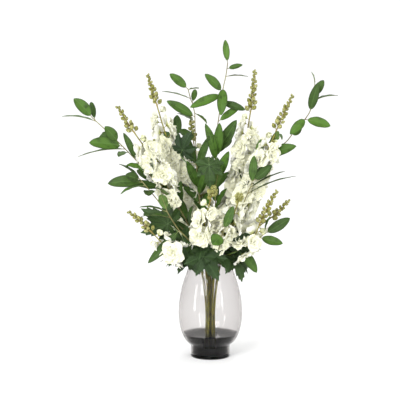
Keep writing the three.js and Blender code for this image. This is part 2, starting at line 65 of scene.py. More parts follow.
STALKS = sorted(name[:-5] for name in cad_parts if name.endswith("_stem"))
BRANCHES = sorted(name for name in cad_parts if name.startswith(("branch_", "sprig_")))
PALM_LEAVES = sorted(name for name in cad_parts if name.startswith("palm_leaf_"))


def colour(hex_code):
    """A #rrggbb sRGB colour as the linear red, green, blue and alpha that Blender works in."""
    parts = [int(hex_code[i : i + 2], 16) / 255 for i in (1, 3, 5)]
    return (*(c / 12.92 if c <= 0.04045 else ((c + 0.055) / 1.055) ** 2.4 for c in parts), 1.0)


# ---- What a user would change --------------------------------------------------------------


def length_property(label, note, millimetres):
    return bpy.props.FloatProperty(
        name=label, description=note, default=millimetres * MM, unit="LENGTH", subtype="DISTANCE"
    )


def colour_property(label, note, hex_code):
    return bpy.props.FloatVectorProperty(
        name=label, description=note, default=colour(hex_code), size=4, min=0, max=1, subtype="COLOR"
    )


class FloretSettings(bpy.types.PropertyGroup):
    """The open flowers."""

    petal: length_property("Petal", "Length of an outer petal from its claw to its rim", 31)
    pitch: length_property("Pitch", "Height along a stem from one floret to the next", 12.5)
    reach: length_property("Reach", "Distance from the stem to the base of a floret", 12)
    petal_colour: colour_property("Petal", "The open part of a petal", "#fefefa")
    base_colour: colour_property("Petal base", "The claw of a petal, and an opening bud", "#c6cb74")


class BudSettings(bpy.types.PropertyGroup):
    """The closed buds on each spike."""

    bud: length_property("Bud", "Length of a bud at the foot of a spike", 14.5)
    pitch: length_property("Pitch", "Height along a spike from one bud to the next", 4.2)
    bud_colour: colour_property("Bud", "The rounded body of a bud", "#575b23")
    tip_colour: colour_property("Tip", "The folded end of a bud", "#716f33")


class StemSettings(bpy.types.PropertyGroup):
    """The stalks, shoots and twigs."""

    stalk_radius: length_property("Stalk radius", "Radius of a main stalk at its foot", 2.2)
    stalk_colour: colour_property("Stalk", "The moulded stalks", "#6c6818")
    twig_colour: colour_property("Twig", "The twigs that carry the long leaves", "#6d6a38")


class LeafSettings(bpy.types.PropertyGroup):
    """The long leaves and the jagged ones."""

    thickness: length_property("Thickness", "Thickness of the pressed cloth of a leaf", 0.7)
    face_colour: colour_property("Face", "The upper side of a long leaf", "#2e4517")
    edge_colour: colour_property("Edge", "The darker rim of a long leaf", "#1b2a0b")
    back_colour: colour_property("Back", "The paler underside of a long leaf", "#4d672e")
    palm_colour: colour_property("Jagged leaf", "The upper side of a jagged leaf", "#1e3017")
    vein_colour: colour_property("Jagged vein", "The veins of a jagged leaf", "#45603c")


class VaseSettings(bpy.types.PropertyGroup):
    """The glass and what is set in it."""

    glass_colour: colour_property("Glass", "The clear glass", "#c9c4c2")
    # The dark tint of the faux water is painted darkness: it stands in for the dark table seen through the
    # foot.
    painted_dark_resin_colour: colour_property("Faux water", "The set resin, painted dark", "#383328")


class StageSettings(bpy.types.PropertyGroup):
    """The floor, the light and the camera."""

    floor_colour: colour_property("Floor", "The plain pale floor and backdrop", "#ececec")
    distance: bpy.props.FloatProperty(
        name="Distance", description="How far in front of the vase the camera stands",
        default=2.53, unit="LENGTH", subtype="DISTANCE",
    )


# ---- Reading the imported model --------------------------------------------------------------


def welded(node):
    """A CAD node's vertices in millimetres, and for each one the set of vertices that an edge joins it to."""
    mesh = bmesh.new()
    mesh.from_mesh(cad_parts[node].data)
    bmesh.ops.remove_doubles(mesh, verts=mesh.verts, dist=0.02 * MM)
    mesh.verts.index_update()
    points = np.array([v.co for v in mesh.verts]) / MM
    near = [{e.other_vert(v).index for e in v.link_edges} for v in mesh.verts]
    mesh.free()
    return points, near


def unit(v):
    return v / np.linalg.norm(v)


def distance(a, b):
    return float(np.linalg.norm(a - b))


class Line:
    """A smooth line through points, read by the distance along it."""

    def __init__(self, points, steps=8):
        knots = np.array(points, float)
        before = 2 * knots[0] - knots[1]
        after = 2 * knots[-1] - knots[-2]
        padded = np.vstack([before, knots, after])
        dense = [knots[0]]
        for i in range(1, len(padded) - 2):
            a, b, c, d = padded[i - 1 : i + 3]
            for step in range(1, steps + 1):
                t = step / steps
                dense.append(
                    0.5 * (2 * b + (c - a) * t + (2 * a - 5 * b + 4 * c - d) * t**2
                           + (3 * b - 3 * c + d - a) * t**3)
                )
        self.points = np.array(dense)
        gaps = np.linalg.norm(np.diff(self.points, axis=0), axis=1)
        self.along = np.concatenate([[0], np.cumsum(gaps)])
        self.length = float(self.along[-1])

    def at(self, along):
        return np.array([np.interp(along, self.along, self.points[:, i]) for i in range(3)])

    def heading(self, along):
        along = min(max(along, 0.5), self.length - 0.5)
        return unit(self.at(along + 0.5) - self.at(along - 0.5))

    def sampled(self, spacing):
        count = max(2, math.ceil(self.length / spacing) + 1)
        return np.array([self.at(s) for s in np.linspace(0, self.length, count)])

    def nearest(self, point):
        return float(self.along[np.argmin(np.linalg.norm(self.points - point, axis=1))])


def stem_line(stalk):
    """The middle of a stem: its rings of six corners, from its foot up."""
    points, _ = welded(f"{stalk}_stem")
    if len(points) % 6:
        raise RuntimeError(f"{stalk}_stem isn't made of rings of six corners")
    rings = points[np.argsort(points[:, 2])].reshape(-1, 6, 3)
    return Line(rings.mean(axis=1))


def spike_line(stalk, stem):
    """The middle of a bud spike, which bends from the end of its stem to its own tip."""
    points, _ = welded(f"{stalk}_buds")
    start = stem.at(stem.length)
    heading = stem.heading(stem.length)
    tip = points[np.argmax(np.linalg.norm(points - start, axis=1))]
    bend = start + heading * distance(start, tip) / 2
    t = np.linspace(0, 1, 12)[:, None]
    return Line((1 - t) ** 2 * start + 2 * t * (1 - t) * bend + t**2 * tip, steps=3)


def facing_pairs(points, near, thickness, reach):
    """The two middles of each blade: corners a blade's thickness apart that share far neighbours."""
    gaps = np.linalg.norm(points[:, None] - points[None], axis=2)
    for top, under in np.argwhere(np.abs(gaps - thickness) < 0.04):
        if top < under and under not in near[top]:
            shared = [s for s in near[top] & near[under] if gaps[s, top] > reach]
            if len(shared) > 1:
                yield top, under, shared


def branch_leaves(node):
    """Each long leaf of a branch as its base, tip, width and the way that its face looks."""
    points, near = welded(node)
    leaves, used = [], set()
    for top, under, shared in facing_pairs(points, near, BLADE_THICKNESS, 4):
        middle = (points[top] + points[under]) / 2
        normal = unit(points[top] - points[under])
        rim = [s for s in shared if abs((points[s] - middle) @ normal) < 0.3]
        if len(rim) < 3:
            continue
        pairs = [(a, b) for i, a in enumerate(rim) for b in rim[i + 1 :]]
        left, right = min(pairs, key=lambda ab: distance((points[ab[0]] + points[ab[1]]) / 2, middle))
        ends = [s for s in rim if s not in (left, right)]
        tip = points[max(ends, key=lambda s: distance(points[s], middle))]
        used |= {top, under, *shared}
        if normal[2] - 0.5 * normal[1] < 0:
            normal = -normal
        leaves.append((2 * middle - tip, tip, distance(points[left], points[right]), normal))
    return leaves, [p for i, p in enumerate(points) if i not in used]


def ring_middles(points, sides, radius):
    """The middles of the whole rings of a tube, among its other corners."""
    points = np.array(points)
    side = 2 * radius * math.sin(math.pi / sides)
    left = set(range(len(points)))
    middles = []
    while left:
        ring = {left.pop()}
        edge = set(ring)
        while edge:
            here = points[edge.pop()]
            joined = {i for i in left if distance(points[i], here) < side * 1.15}
            left -= joined
            ring |= joined
            edge |= joined
        corners = points[sorted(ring)]
        middle = corners.mean(axis=0)
        if len(ring) == sides and np.ptp(np.linalg.norm(corners - middle, axis=1)) < 0.3:
            middles.append(middle)
    return middles


def palm_leaf_place(node):
    """A jagged leaf's hub, tip and the way its face looks, and where its stalk starts."""
    points, near = welded(node)
    pairs = list(facing_pairs(points, near, PALM_THICKNESS, 4))
    if not pairs:
        raise RuntimeError(f"{node} has no hub")
    top, under, rim = max(pairs, key=lambda found: len(found[2]))
    hub = (points[top] + points[under]) / 2
    normal = unit(points[top] - points[under])
    tip = points[max(rim, key=lambda s: distance(points[s], hub))]
    off_blade = [p for p in points if abs((p - hub) @ normal) > PALM_THICKNESS / 2 + 0.5]
    stalk = max(off_blade, key=lambda p: distance(p, hub))
    if (stalk - hub) @ normal > 0:
        normal = -normal
    return hub, tip, normal, stalk


# ---- Making meshes -------------------------------------------------------------------------


class Surface:
    """Gathers the surfaces of one piece: points, faces, UV places, a tint and a material for each."""

    def __init__(self):
        self.points, self.faces, self.uvs, self.tints, self.slots = [], [], [], [], []
        self.count = 0

    def add(self, points, faces, uvs, tint, slot):
        points = np.asarray(points).reshape(-1, 3)
        self.points.append(points)
        self.uvs.append(np.asarray(uvs).reshape(-1, 2))
        self.tints.append(np.full(len(points), tint))
        self.faces += [tuple(i + self.count for i in face) for face in faces]
        self.slots += [slot] * len(faces) if isinstance(slot, int) else slot
        self.count += len(points)

    def make(self, name, materials, nodes, sharp_degrees=50):
        """The piece's object, which rides with the arrangement and stands for its CAD nodes."""
        mesh = bpy.data.meshes.new(name)
        mesh.from_pydata((np.vstack(self.points) * MM).tolist(), [], self.faces)
        mesh.polygons.foreach_set("material_index", self.slots)
        corners = np.empty(len(mesh.loops), np.int32)
        mesh.loops.foreach_get("vertex_index", corners)
        places = mesh.uv_layers.new(name="Across and along").uv
        places.foreach_set("vector", np.vstack(self.uvs)[corners].ravel())
        tint = mesh.attributes.new("tint", "FLOAT", "POINT")
        tint.data.foreach_set("value", np.concatenate(self.tints).astype(np.float32))
        mesh.polygons.foreach_set("use_smooth", [True] * len(mesh.polygons))
        mesh.set_sharp_from_angle(angle=math.radians(sharp_degrees))
        mesh.validate()
        for material in materials:
            mesh.materials.append(material)
        piece = bpy.data.objects.new(name, mesh)
        bpy.context.scene.collection.objects.link(piece)
        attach(piece, "root")
        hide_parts(*nodes)
        return piece


def square_to(axis, toward=(0, 0, 1)):
    """Two directions square to an axis and to each other, the first as near as it can be to another."""
    toward = np.array(toward, float)
    first = toward - (toward @ axis) * axis
    if np.linalg.norm(first) < 1e-3:
        first = np.array([1.0, 0, 0]) - axis[0] * axis
    first = unit(first)
    return first, np.cross(axis, first)


def placed(origin, axes, *places):
    """Points at these places along three axes from an origin."""
    return origin + np.stack(np.broadcast_arrays(*places), axis=-1) @ np.array(axes)


def outward_from(heading, turn):
    """The direction square to a heading, at this turn about it."""
    side, other = square_to(heading)
    return side * math.cos(turn) + other * math.sin(turn)


def wall_faces(rings, sides):
    """The four-cornered faces between rings of points, each ring joined to the next."""
    sides_of_ring = [(k, (k + 1) % sides) for k in range(sides)]
    starts = range(0, (rings - 1) * sides, sides)
    return [(row + a, row + b, row + sides + b, row + sides + a) for row in starts for a, b in sides_of_ring]


def add_tube(surface, points, radii, sides, slot, tint=0.5, lobes=0, depth=0.0):
    """A round tube along points, closed at both ends. Lobes furrow it along its length."""
    points = np.asarray(points, float)
    radii = np.broadcast_to(radii, len(points))
    headings = np.gradient(points, axis=0)
    turn = np.arange(sides) * 2 * math.pi / sides
    furrow = 1 + depth * np.cos(lobes * turn)
    first, _ = square_to(unit(headings[0]))
    rings = []
    for point, radius, heading in zip(points, radii, headings):
        axis = unit(heading)
        first, second = square_to(axis, first)
        ring = np.cos(turn)[:, None] * first + np.sin(turn)[:, None] * second
        rings.append(point + ring * (radius * furrow)[:, None])
    along = np.concatenate([[0], np.cumsum(np.linalg.norm(np.diff(points, axis=0), axis=1))])
    uvs = [(side / sides, y) for y in along for side in range(sides)]
    faces = wall_faces(len(points), sides)
    last = (len(points) - 1) * sides
    faces += [tuple(range(sides))[::-1], tuple(range(last, last + sides))]
    surface.add(np.vstack(rings), faces, uvs, tint, slot)


def add_blade(surface, grid, uvs, thickness, tint, face_slot, back_slot):
    """A thin closed sheet over a grid of points: its face, its back and its cut edge."""
    rows, columns = grid.shape[:2]
    normal = np.cross(np.gradient(grid, axis=1), np.gradient(grid, axis=0))
    normal /= np.maximum(np.linalg.norm(normal, axis=2, keepdims=True), 1e-9)
    top, under = grid + normal * thickness / 2, grid - normal * thickness / 2
    index = np.arange(rows * columns).reshape(rows, columns)
    quads = np.stack([index[:-1, :-1], index[:-1, 1:], index[1:, 1:], index[1:, :-1]], axis=-1).reshape(-1, 4)
    shift = rows * columns
    edge = [*index[0, :-1], *index[:-1, -1], *index[-1, :0:-1], *index[:0:-1, 0]]
    rim = [(a, b, b + shift, a + shift) for a, b in zip(edge[1:] + edge[:1], edge)]
    faces = [*map(tuple, quads.tolist()), *map(tuple, (quads[:, ::-1] + shift).tolist()), *rim]
    slots = [face_slot] * len(quads) + [back_slot] * len(quads) + [face_slot] * len(rim)
    surface.add(np.concatenate([top.reshape(-1, 3), under.reshape(-1, 3)]), faces,
                np.concatenate([uvs.reshape(-1, 2)] * 2), tint, slots)


def uv_grid(rows, columns):
    """UV places for a blade: -1 to 1 across it, and 0 to 1 from its base to its tip."""
    return np.stack(np.meshgrid(np.linspace(-1, 1, columns), np.linspace(0, 1, rows)), axis=-1)


# ---- Materials -----------------------------------------------------------------------------

# What several nodes' settings start with.
SMOOTH = {"interpolation_type": "SMOOTHSTEP"}
MIXED = {"data_type": "RGBA"}
MULTIPLIED = {"data_type": "RGBA", "blend_type": "MULTIPLY"}


def socket_in(node, name):
    """A node's input with this name that is in use, or the one at this place if it is a number."""
    if isinstance(name, int):
        return node.inputs[name]
    return next(socket for socket in node.inputs if socket.name == name and socket.enabled)


def add_node(tree, kind, inputs=None):
    """Adds a shader node with its settings and links. A node is linked by its first output in use."""
    node = tree.nodes.new("ShaderNode" + kind)
    for name, value in (inputs or {}).items():
        if isinstance(value, bpy.types.Node):
            value = next(socket for socket in value.outputs if socket.enabled)
        if isinstance(value, bpy.types.NodeSocket):
            tree.links.new(value, socket_in(node, name))
        elif isinstance(name, str) and hasattr(node, name):
            setattr(node, name, value)
        else:
            socket_in(node, name).default_value = value
    return node


def new_material(name):
    """A material with no nodes, and what adds them to it."""
    material = bpy.data.materials.new(name)
    material.use_nodes = True
    material.node_tree.nodes.clear()
    return material, partial(add_node, material.node_tree)


def heat_pressed_petal_cloth(name, petal_colour, claw_colour, crease_shade_colour):
    """Fine polyester cloth, cut, heat-pressed and ruffled: matt and soft, and its rims let light through.
    Painted shade darkens the deep parts of its creases.
    """
    material, add = new_material(name)
    uv = add("UVMap", {"uv_map": "Across and along"})
    place = add("SeparateXYZ", {"Vector": uv})
    age = add("Attribute", {"attribute_name": "tint"})
    claw = add("MapRange", {
        **SMOOTH, "From Min": 0.05, "From Max": 0.42, "To Min": 0.95, "To Max": 0.0,
        "Value": place.outputs["Y"],
    })
    tinted = add("Mix", {**MIXED, "A": petal_colour, "B": claw_colour, "Factor": claw})
    young = add("MapRange", {
        **SMOOTH, "From Min": 0.5, "From Max": 1.0, "To Max": 0.8, "Value": age.outputs["Fac"],
    })
    aged = add("Mix", {**MIXED, "B": claw_colour, "Factor": young, "A": tinted})
    crease_width = 3.0  # mm between two pressed creases of a petal, coarser than the real 1 mm to show
    stretched = add("Mapping", {"Scale": (12 / crease_width, 0.7, 1), "Vector": uv})
    creases = add("TexNoise", {"Scale": 2.0, "Detail": 2.0, "Vector": stretched})
    # Painted shade: the deep parts of the pressed creases are darkened towards the crease colour; the same
    # creases make the bump.
    painted_crease_shade = add("MapRange", {**SMOOTH, "From Min": 0.4, "From Max": 0.75, "Value": creases})
    crease_shaded = add("Mix", {**MULTIPLIED, "B": crease_shade_colour, "Factor": painted_crease_shade, "A": aged})
    bump = add("Bump", {"Strength": 0.3, "Distance": 0.6 * MM, "Height": creases})
    cloth = add("BsdfPrincipled", {
        "Roughness": 0.75, "Sheen Weight": 0.1, "Specular IOR Level": 0.25, "Base Color": crease_shaded,
        "Normal": bump,
    })
    through = add("BsdfTranslucent", {"Color": crease_shaded})
    both = add("MixShader", {"Fac": 0.3, 1: cloth, 2: through})
    add("OutputMaterial", {"Surface": both})
    return material


def painted_foam_buds(settings):
    """Moulded foam, painted olive with a brush: matt, with pale flecks of painted highlight."""
    material, add = new_material("Painted foam buds")
    uv = add("UVMap", {"uv_map": "Across and along"})
    place = add("SeparateXYZ", {"Vector": uv})
    own = add("Attribute", {"attribute_name": "tint"})
    grain = 1.6  # mm across a fleck of the paint laid on with a brush, which also places the painted highlights
    coordinates = add("TexCoord")
    flecks = add("TexNoise", {
        "Scale": 1 / (grain * MM), "Detail": 3.0, "Vector": coordinates.outputs["Object"],
    })
    toward_tip = add("MapRange", {**SMOOTH, "From Min": 4.0, "From Max": 11.0, "Value": place.outputs["Y"]})
    ends = add("Mix", {**MIXED, "A": settings.bud_colour, "B": settings.tip_colour, "Factor": toward_tip})
    # Painted highlight: pale flecks over each bud stand in for highlights.
    painted_highlight = add("MapRange", {**SMOOTH, "From Min": 0.42, "From Max": 0.68, "Value": flecks})
    flecked_with_highlights = add("Mix", {**MIXED, "B": colour("#c6c48c"), "Factor": painted_highlight, "A": ends})
    toned = add("Mix", {**MULTIPLIED, "B": colour("#c3c488"), "Factor": own.outputs["Fac"], "A": flecked_with_highlights})
    bump = add("Bump", {"Strength": 0.3, "Distance": 0.3 * MM, "Height": flecks})
    foam = add("BsdfPrincipled", {
        "Roughness": 0.68, "Specular IOR Level": 0.3, "Base Color": toned, "Normal": bump,
    })
    add("OutputMaterial", {"Surface": foam})
    return material


def moulded_stem_plastic(name, body_colour, streak_colour):
    """Polyethylene moulded over a wire: satin, with faint streaks along it and darker patches."""
    material, add = new_material(name)
    coordinates = add("TexCoord")
    streak_width = 1.5  # mm across a streak, which runs ten times as long
    stretch = (1 / (streak_width * MM), 1 / (streak_width * MM), 0.1 / (streak_width * MM))
    stretched = add("Mapping", {"Scale": stretch, "Vector": coordinates.outputs["Object"]})
    streaks = add("TexNoise", {"Scale": 1.0, "Detail": 3.0, "Vector": stretched})
    patch_width = 30  # mm across a darker patch of the moulding
    patches = add("TexNoise", {"Scale": 1 / (patch_width * MM), "Vector": coordinates.outputs["Object"]})
    along = add("MapRange", {**SMOOTH, "From Min": 0.4, "From Max": 0.65, "Value": streaks})
    streaked = add("Mix", {**MIXED, "A": body_colour, "B": streak_colour, "Factor": along})
    darker = add("MapRange", {**SMOOTH, "From Min": 0.45, "From Max": 0.7, "Value": patches})
    patched = add("Mix", {**MULTIPLIED, "B": colour("#b9a96e"), "Factor": darker, "A": streaked})
    bump = add("Bump", {"Strength": 0.35, "Distance": 0.3 * MM, "Height": streaks})
    plastic = add("BsdfPrincipled", {"Roughness": 0.45, "IOR": 1.51, "Base Color": patched, "Normal": bump})
    add("OutputMaterial", {"Surface": plastic})
    return material


def pressed_leaf_cloth(name, body_colour, edge_colour, vein_colour, bright_colour, side_veins, gloss):
    """Cloth printed, coated and pressed with veins: satin, paler along its veins and darker at its rim."""
    material, add = new_material(name)
    uv = add("UVMap", {"uv_map": "Across and along"})
    place = add("SeparateXYZ", {"Vector": uv})
    own = add("Attribute", {"attribute_name": "tint"})
    off_rib = add("Math", {"operation": "ABSOLUTE", 0: place.outputs["X"]})
    rib = add("MapRange", {
        **SMOOTH, "From Min": 0.02, "From Max": 0.1, "To Min": 1.0, "To Max": 0.0, "Value": off_rib,
    })
    slant = 0.4  # how far along the leaf a side vein climbs on its way to the rim
    slanted = add("Math", {"operation": "MULTIPLY_ADD", 1: -slant, 0: off_rib, 2: place.outputs["Y"]})
    phase = add("Math", {"operation": "MULTIPLY", 1: 2 * math.pi * side_veins, 0: slanted})
    wave = add("Math", {"operation": "SINE", 0: phase})
    veins = add("MapRange", {**SMOOTH, "From Min": 0.55, "From Max": 1.0, "To Max": 0.5, "Value": wave})
    lines = add("Math", {"operation": "MAXIMUM", 0: rib, 1: veins})
    rim = add("MapRange", {**SMOOTH, "From Min": 0.7, "From Max": 1.0, "To Max": 0.7, "Value": off_rib})
    cloud_width = 14  # mm across a lighter or darker cloud of the printed colour
    coordinates = add("TexCoord")
    clouds = add("TexNoise", {
        "Scale": 1 / (cloud_width * MM), "Detail": 2.0, "Vector": coordinates.outputs["Object"],
    })
    cloudy = add("MapRange", {**SMOOTH, "From Min": 0.45, "From Max": 0.8, "To Max": 0.8, "Value": clouds})
    dark = add("Math", {"operation": "MAXIMUM", 0: rim, 1: cloudy})
    each = add("Mix", {**MIXED, "A": body_colour, "B": bright_colour, "Factor": own.outputs["Fac"]})
    body = add("Mix", {**MIXED, "B": edge_colour, "Factor": dark, "A": each})
    faint = add("Math", {"operation": "MULTIPLY", 1: 0.4, 0: lines})
    veined = add("Mix", {**MIXED, "B": vein_colour, "Factor": faint, "A": body})
    bump = add("Bump", {"Strength": 0.4, "Distance": 0.5 * MM, "invert": True, "Height": lines})
    cloth = add("BsdfPrincipled", {
        "Roughness": gloss, "Specular IOR Level": 0.2, "Base Color": veined, "Normal": bump,
    })
    through = add("BsdfTranslucent", {"Color": veined})
    both = add("MixShader", {"Fac": 0.07, 1: cloth, 2: through})
    add("OutputMaterial", {"Surface": both})
    return material


def clear_body(name, ior, roughness, wave_width, wave_detail, wave_strength, colour_through, depth):
    """A clear solid, waved over wave_width mm, that takes away two thirds of the light in depth mm."""
    material, add = new_material(name)
    coordinates = add("TexCoord")
    waves = add("TexNoise", {
        "Scale": 1 / (wave_width * MM), "Detail": wave_detail, "Vector": coordinates.outputs["Object"],
    })
    bump = add("Bump", {"Strength": wave_strength, "Distance": 1.0 * MM, "Height": waves})
    body = add("BsdfPrincipled", {
        "Base Color": colour("#ffffff"), "Roughness": roughness, "IOR": ior, "Transmission Weight": 1.0,
        "Normal": bump,
    })
    tint = add("VolumeAbsorption", {"Color": colour_through, "Density": 1 / (depth * MM)})
    add("OutputMaterial", {"Surface": body, "Volume": tint})
    return material


def blown_glass(settings):
    """Clear glass, blown in a mould and fire-polished: greyer where it is seen edge on, with faint waves."""
    return clear_body("Blown clear glass", 1.25, 0.0, 40, 2.0, 0.06, settings.glass_colour, 6.5)


def poured_resin(settings):
    """Resin, poured and set against the glass: mirror-smooth on top, and tinted black through its depth as
    painted darkness that stands in for the dark table seen through the foot.
    """
    return clear_body("Poured resin, painted dark", 1.15, 0.01, 35, 1.0, 0.1, settings.painted_dark_resin_colour, 9)


def painted_floor(settings):
    """A plain painted floor that rolls up into the backdrop: matt, with the faintest mottle."""
    material, add = new_material("Matt painted floor")
    coordinates = add("TexCoord")
    mottle = add("TexNoise", {"Scale": 3.0, "Vector": coordinates.outputs["Object"]})
    paint = add("Mix", {**MIXED, "A": settings.floor_colour, "B": colour("#efefef"), "Factor": mottle})
    floor = add("BsdfPrincipled", {"Roughness": 0.9, "Specular IOR Level": 0.1, "Base Color": paint})
    add("OutputMaterial", {"Surface": floor})
    return material


# ---- Florets -------------------------------------------------------------------------------


def petal_grid(draw, length, half_width, lean, curl, ruffle, rows, columns):
    """One petal's points: its claw at the origin, on a flower that looks along Z, and leaning along X.

    lean is the angle from the flower's axis at the claw, and curl is how much that grows to the rim.
    """
    v = np.linspace(0, 1, rows)[:, None]
    u = np.linspace(-1, 1, columns)[None, :]
    notch = 0.05 * np.exp(-((u / 0.22) ** 2)) * v**4
    run = v * (1 - 0.2 * np.abs(u) ** 2.4 * v) - notch
    angle = lean + curl * run
    out = length * (math.cos(lean) - np.cos(angle)) / curl
    up = length * (np.sin(angle) - math.sin(lean)) / curl
    spread = half_width * (0.2 + 0.8 * np.sin(np.minimum(v / 0.62, 1) * math.pi / 2))
    spread = spread * (1 - 0.3 * np.clip((v - 0.62) / 0.38, 0, 1) ** 2)
    first, second, third = (draw.uniform(0, 2 * math.pi) for _ in range(3))
    waves = 0.5 * np.sin(3.4 * u + first) + 0.35 * np.sin(6.8 * u + second + 2 * v)
    lift = ruffle * v**1.6 * (waves + 0.25 * np.sin(5 * v + third)) + 0.18 * half_width * u**2 * v
    grid = np.empty((rows, columns, 3))
    grid[..., 0] = out - lift * np.cos(angle)
    grid[..., 1] = u * spread * (1 + 0.06 * waves)
    grid[..., 2] = up + lift * np.sin(angle)
    return grid


# Each ring of petals: how many, length, half width, lean, curl in degrees, ruffle, rows and columns.
OPEN_FLORET = [
    (5, 1.06, 0.50, 62, 34, 0.14, 8, 9), (5, 0.88, 0.43, 46, 40, 0.17, 7, 8),
    (4, 0.66, 0.36, 30, 44, 0.20, 6, 7), (3, 0.46, 0.28, 12, 36, 0.20, 5, 6),
]
HALF_OPEN_FLORET = [
    (5, 1.00, 0.54, 34, 44, 0.13, 7, 8), (5, 0.76, 0.44, 16, 40, 0.15, 6, 7),
    (4, 0.50, 0.30, 4, 22, 0.12, 5, 5),
]
OPENING_BUD = [
    (5, 0.80, 0.46, 38, -42, 0.05, 6, 6),
    (3, 0.62, 0.36, 22, -28, 0.06, 5, 5),
]
PETAL_FACE, PETAL_BACK, CALYX = 0, 1, 2
PETAL_THICKNESS = 0.35
FULL_SIZE_BELOW = 62  # mm under a stem's top, where florets reach their full size
HALF_OPEN_BELOW, OPEN_BELOW = 16, 40  # mm under a stem's top, where florets begin to open and are open
TOP_GAP = 6  # mm from a stem's top to its first floret
BARE_FOOT = 14  # mm above the foot of a cluster that no floret starts in
BARE_FRONT_FOOT = 26  # the same on the front stalks, which leaves the jagged leaves in view
OPEN_FRONT = 0.17  # share of a stem, from its top, where the florets stand to its sides and its middle shows


def add_floret(surface, draw, base, facing, petal, rings, tint):
    """One floret: its rings of petals about the way it faces, from its base."""
    side, other = square_to(facing)
    axes = np.array([side, other, facing])
    for ring, (count, length, half_width, lean, curl, ruffle, rows, columns) in enumerate(rings):
        start = draw.uniform(0, 2 * math.pi) if ring == 0 else start + math.pi / count
        for k in range(count):
            grid = petal_grid(
                draw, petal * length * draw.uniform(0.9, 1.08), petal * half_width * draw.uniform(0.9, 1.1),
                math.radians(lean + draw.uniform(-9, 9)), math.radians(curl + draw.uniform(-8, 8)),
                petal * ruffle * draw.uniform(0.7, 1.3), rows, columns,
            )
            turn = start + (k + draw.uniform(-0.16, 0.16)) * 2 * math.pi / count
            cos, sin = math.cos(turn), math.sin(turn)
            spun = np.stack([grid[..., 0] * cos - grid[..., 1] * sin,
                             grid[..., 0] * sin + grid[..., 1] * cos, grid[..., 2]], axis=-1)
            uvs = uv_grid(rows, columns)
            add_blade(surface, base + spun @ axes, uvs, PETAL_THICKNESS, tint, PETAL_FACE, PETAL_BACK)


def add_pedicel(surface, stem_point, base, facing, size):
    """The short stalk of a floret and the green cup that holds its petals."""
    bend = stem_point + (base - stem_point) * 0.5 + np.array([0, 0, 0.12]) * distance(stem_point, base)
    line = Line([stem_point, bend, base - facing * 3 * size])
    add_tube(surface, line.sampled(4), 0.9 * size, 6, CALYX)
    cup = [base + facing * z * size for z in (-4, -3, -1.2, 0.8, 2.2)]
    add_tube(surface, cup, np.array([0.8, 1.9, 2.7, 2.9, 2.2]) * size, 10, CALYX, lobes=5, depth=0.08)


class FLOWERS_OT_florets(bpy.types.Operator):
    """Make the ruffled double florets of every stalk, smaller and less open towards its top"""

    bl_idname = "flowers.florets"
    bl_label = "Florets"

    def execute(self, context):
        settings = context.scene.flowers_florets
        cloth = heat_pressed_petal_cloth(
            "Heat-pressed petal cloth, face", settings.petal_colour, settings.base_colour, colour("#fafaf2"),
        )
        # The backs of the petals are darker and khakier than their faces: partly the cloth's green-tinted
        # base, partly painted shade where the backs turn from the light.
        back = heat_pressed_petal_cloth(
            "Heat-pressed petal cloth, back, painted shade", colour("#f4f4e2"), colour("#969643"), colour("#e0dfb8"),
        )
        calyx = moulded_stem_plastic("Moulded calyx plastic", colour("#6e6c28"), colour("#8a8238"))
        pitch, petal, reach = settings.pitch / MM, settings.petal / MM, settings.reach / MM
        for number, stalk in enumerate(STALKS):
            draw = random.Random(100 + number)
            line = stem_line(stalk)
            foot = line.nearest(self.lowest_point(stalk))
            bloom = line.length - foot - (BARE_FRONT_FOOT if "front" in stalk else BARE_FOOT)
            surface = Surface()
            count = int(bloom / pitch)
            first_turn = draw.uniform(0, 2 * math.pi)
            for i in range(count):
                below = TOP_GAP + (i + 0.5) * bloom / count
                along = line.length - below
                size = min(1.0, 0.5 + 0.5 * below / FULL_SIZE_BELOW)
                heading = line.heading(along)
                outward = outward_from(heading, first_turn + i * GOLDEN_ANGLE + draw.uniform(-0.25, 0.25))
                if below < OPEN_FRONT * line.length and abs(outward[1]) > 0.75:
                    outward = unit(outward * (1, 0.25, 1) + (math.copysign(0.35, outward[0]), 0, 0))
                facing = unit(outward + heading * (0.55 - 0.4 * size) + (0, 0, draw.uniform(-0.1, 0.22)))
                stem_point = line.at(along - 6 * size)
                base = stem_point + outward * reach * size + heading * 6 * size
                kind = HALF_OPEN_FLORET if below < OPEN_BELOW else OPEN_FLORET
                kind = OPENING_BUD if below < HALF_OPEN_BELOW else kind
                tint = max(0.0, min(1.0, 1.1 - below / 34 + draw.uniform(-0.1, 0.1)))
                add_floret(surface, draw, base, facing, petal * size, kind, tint)
                add_pedicel(surface, stem_point, base, facing, size)
            name, node = f"{stalk}_ruffled_florets", f"{stalk}_florets"
            surface.make(name, [cloth, back, calyx], [node])
        return {"FINISHED"}

    @staticmethod
    def lowest_point(stalk):
        """The bottom of a stalk's cluster of florets, where its closed skin meets the stem."""
        points, _ = welded(f"{stalk}_florets")
        top = stem_line(stalk).points[-1]
        return points[np.argmax(np.linalg.norm(points - top, axis=1))]


# ---- Buds ----------------------------------------------------------------------------------

FOAM, SPIKE = 0, 1


def add_bud(surface, draw, start, lean, length, stalk_length, tint):
    """A plump bud, five-lobed and folded to a blunt point, on its thin stalk."""
    base = start + lean * stalk_length + np.array([0, 0, 0.1]) * stalk_length
    facing = unit(lean + np.array([0, 0, 0.25]))
    sag = (start + base) / 2 - np.array([0, 0, 0.06]) * stalk_length
    add_tube(surface, Line([start, sag, base], 2).points, 0.75, 6, SPIKE, tint)
    profile = [
        (0, 0.12), (0.06, 0.55), (0.2, 0.86), (0.4, 1.0), (0.6, 0.93), (0.78, 0.66), (0.9, 0.36), (1, 0.08),
    ]
    fat = length * draw.uniform(0.36, 0.43)
    points = [base + facing * z * length for z, _ in profile]
    add_tube(surface, points, [r * fat for _, r in profile], 10, FOAM, tint, lobes=5, depth=0.07)


